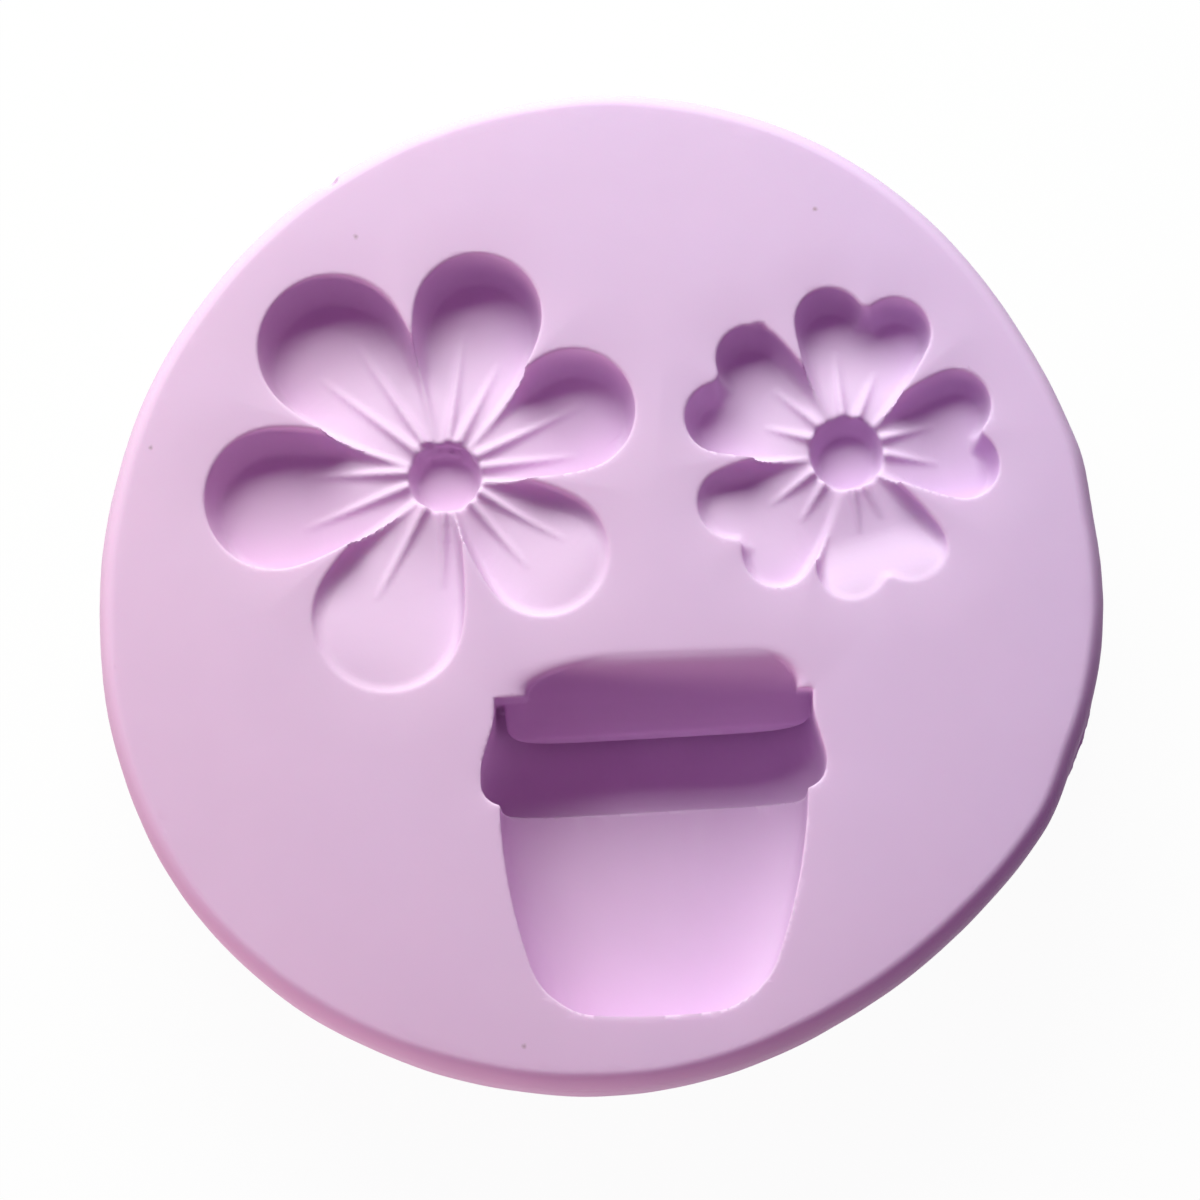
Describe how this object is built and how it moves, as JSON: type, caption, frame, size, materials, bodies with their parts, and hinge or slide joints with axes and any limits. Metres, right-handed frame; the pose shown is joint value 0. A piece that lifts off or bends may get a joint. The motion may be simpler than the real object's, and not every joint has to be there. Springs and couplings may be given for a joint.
{
  "type": "silicone push mould",
  "caption": "Round flexible silicone mould whose face holds flower and flower-pot recesses for pressing sugar paste or clay decorations.",
  "frame": {"origin": "centre of the flat base, on the table", "axes": "+Z out of the recessed face, +Y from the flower pot towards the flowers, +X to the right seen from above"},
  "size_m": [0.0615, 0.0611, 0.013],
  "materials": {
    "silicone": "matt lilac silicone"
  },
  "bodies": {
    "root": {"mould_body": "silicone"}
  },
  "joints": []
}
